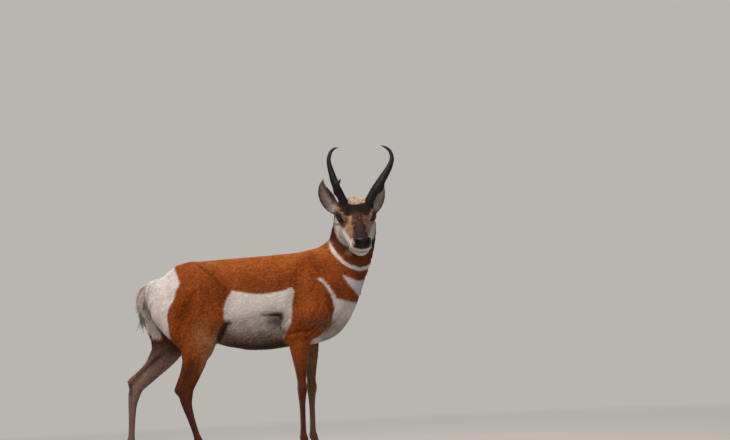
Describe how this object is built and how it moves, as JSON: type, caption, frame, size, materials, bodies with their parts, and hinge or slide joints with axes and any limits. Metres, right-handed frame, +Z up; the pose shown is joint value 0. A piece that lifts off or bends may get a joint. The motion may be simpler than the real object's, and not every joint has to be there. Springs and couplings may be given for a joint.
{
  "type": "pronghorn figure",
  "caption": "Life-size standing pronghorn buck with its head turned to its right, upright ears, a long face and forked black horns whose tips hook inwards.",
  "frame": {"origin": "on the floor, under the middle of the whole animal's bounding box", "axes": "+X from rump to chest, +Y to the animal's left, +Z up from the soles"},
  "size_m": [1.1632, 0.3732, 1.2694],
  "materials": {
    "coat": "short rust-brown hair with white flank, rump, throat bands and cheeks",
    "horn": "near-black ridged horn sheath, smoother to its tip",
    "eye": "wet dark brown, glossy",
    "hoof": "dark horn, slightly polished by wear"
  },
  "bodies": {
    "root": {"torso": "coat", "neck": "coat", "head": "coat", "tail": "coat", "fore_leg_left": "coat", "fore_leg_right": "coat", "hind_leg_left": "coat", "hind_leg_right": "coat", "ear_left": "coat", "ear_right": "coat", "horn_left": "horn", "horn_right": "horn", "eye_left": "eye", "eye_right": "eye", "hoof_fore_left_inner": "hoof", "hoof_fore_left_outer": "hoof", "hoof_fore_right_inner": "hoof", "hoof_fore_right_outer": "hoof", "hoof_hind_left_inner": "hoof", "hoof_hind_left_outer": "hoof", "hoof_hind_right_inner": "hoof", "hoof_hind_right_outer": "hoof"}
  },
  "joints": []
}
